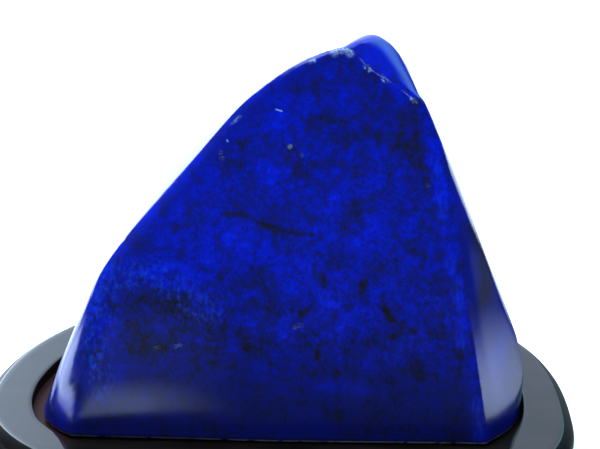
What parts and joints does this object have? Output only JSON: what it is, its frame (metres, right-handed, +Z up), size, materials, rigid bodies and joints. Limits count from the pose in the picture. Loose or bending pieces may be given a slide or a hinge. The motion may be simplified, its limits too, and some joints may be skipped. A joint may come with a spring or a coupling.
{
  "type": "lapis lazuli specimen on a wooden stand",
  "caption": "Polished blue freeform stone with one broad leaning face, resting in the shallow recess of an oval lacquered wooden stand.",
  "frame": {"origin": "middle of the stand's flat underside, on the surface it stands on", "axes": "+Z up, +X to the right along the stand's long axis, -Y towards the viewer of the broad polished face"},
  "size_m": [0.1906, 0.1356, 0.1426],
  "materials": {
    "lapis": "high polish over mottled ultramarine, with near-black clouds, dark veins and sparse pale specks",
    "lacquered_wood": "glossy near-black lacquer on the rim and nose, satin dark brown in the carved recess"
  },
  "bodies": {
    "root": {"lapis_stone": "lapis", "wooden_stand": "lacquered_wood"}
  },
  "joints": []
}
